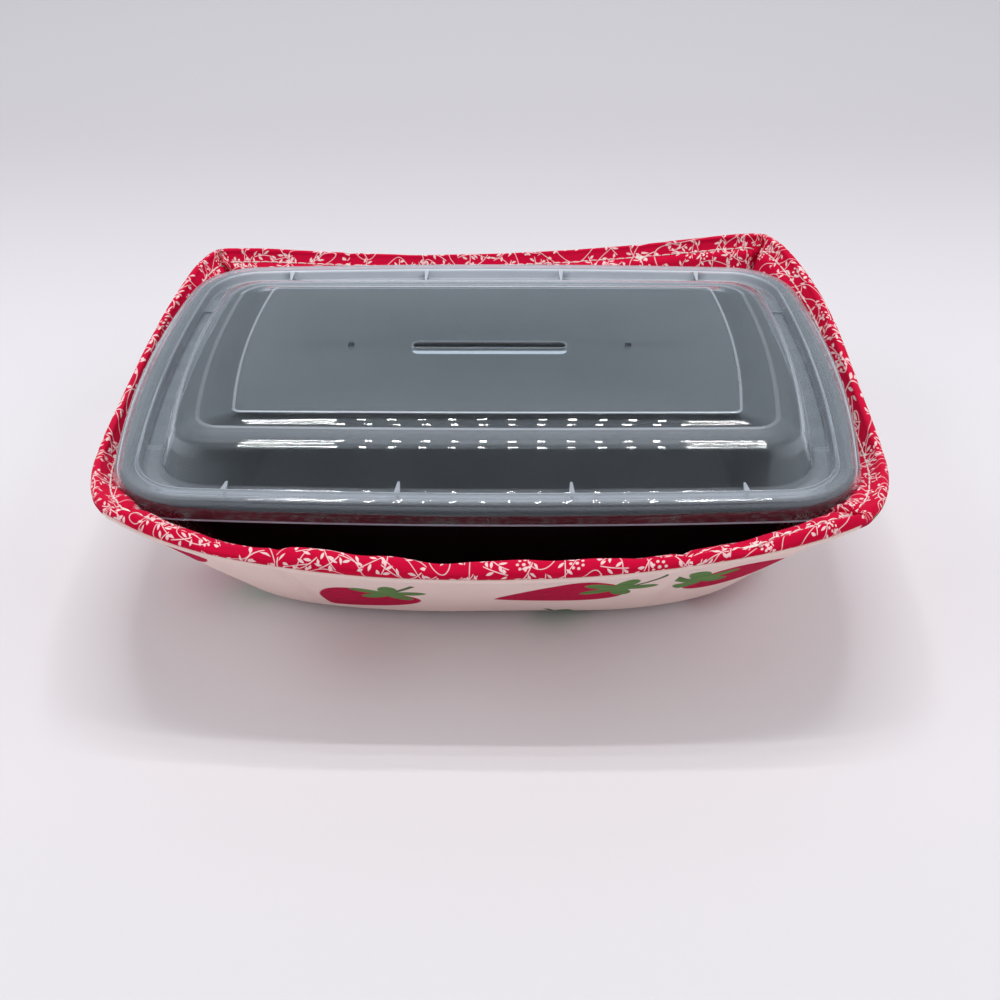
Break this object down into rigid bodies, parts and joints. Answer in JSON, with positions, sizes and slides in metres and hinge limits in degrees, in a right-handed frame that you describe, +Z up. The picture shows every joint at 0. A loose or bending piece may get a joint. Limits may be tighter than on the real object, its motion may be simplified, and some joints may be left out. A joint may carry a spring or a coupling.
{
  "type": "microwave container cozy",
  "caption": "Padded fabric cozy with flared, eared sides that holds a shallow meal tray with a press-on clear lid, so a hot microwaved container can be carried by hand.",
  "frame": {"origin": "middle of the cozy's flat base, on the table", "axes": "+X along the long side, +Y to the back, +Z up out of the cozy"},
  "size_m": [0.2348, 0.191, 0.0637],
  "materials": {
    "cream_print": "matte",
    "red_calico": "matte",
    "white_batting": "matte",
    "white_thread": "satin",
    "black_plastic": "satin",
    "clear_plastic": "gloss"
  },
  "bodies": {
    "cozy": {"outer_fabric": "cream_print", "outer_batting": "white_batting", "lining_batting": "white_batting", "lining_fabric": "red_calico", "rim_seam_thread": "white_thread", "topstitch_needle_thread": "white_thread", "topstitch_bobbin_thread": "white_thread", "outer_dart_thread_front_right": "white_thread", "lining_dart_thread_front_right": "white_thread", "outer_dart_thread_right_front": "white_thread", "lining_dart_thread_right_front": "white_thread", "outer_dart_thread_right_back": "white_thread", "lining_dart_thread_right_back": "white_thread", "outer_dart_thread_back_right": "white_thread", "lining_dart_thread_back_right": "white_thread", "outer_dart_thread_back_left": "white_thread", "lining_dart_thread_back_left": "white_thread", "outer_dart_thread_left_back": "white_thread", "lining_dart_thread_left_back": "white_thread", "outer_dart_thread_left_front": "white_thread", "lining_dart_thread_left_front": "white_thread", "outer_dart_thread_front_left": "white_thread", "lining_dart_thread_front_left": "white_thread"},
    "tray": {"meal_tray": "black_plastic"},
    "lid": {"tray_lid": "clear_plastic"}
  },
  "joints": [
    {"name": "tray_lift", "type": "slide", "parent": "cozy", "child": "tray", "axis": [0, 0, 1], "range_m": [0, 0.12]},
    {"name": "lid_lift", "type": "slide", "parent": "tray", "child": "lid", "axis": [0, 0, 1], "range_m": [0, 0.08]}
  ]
}
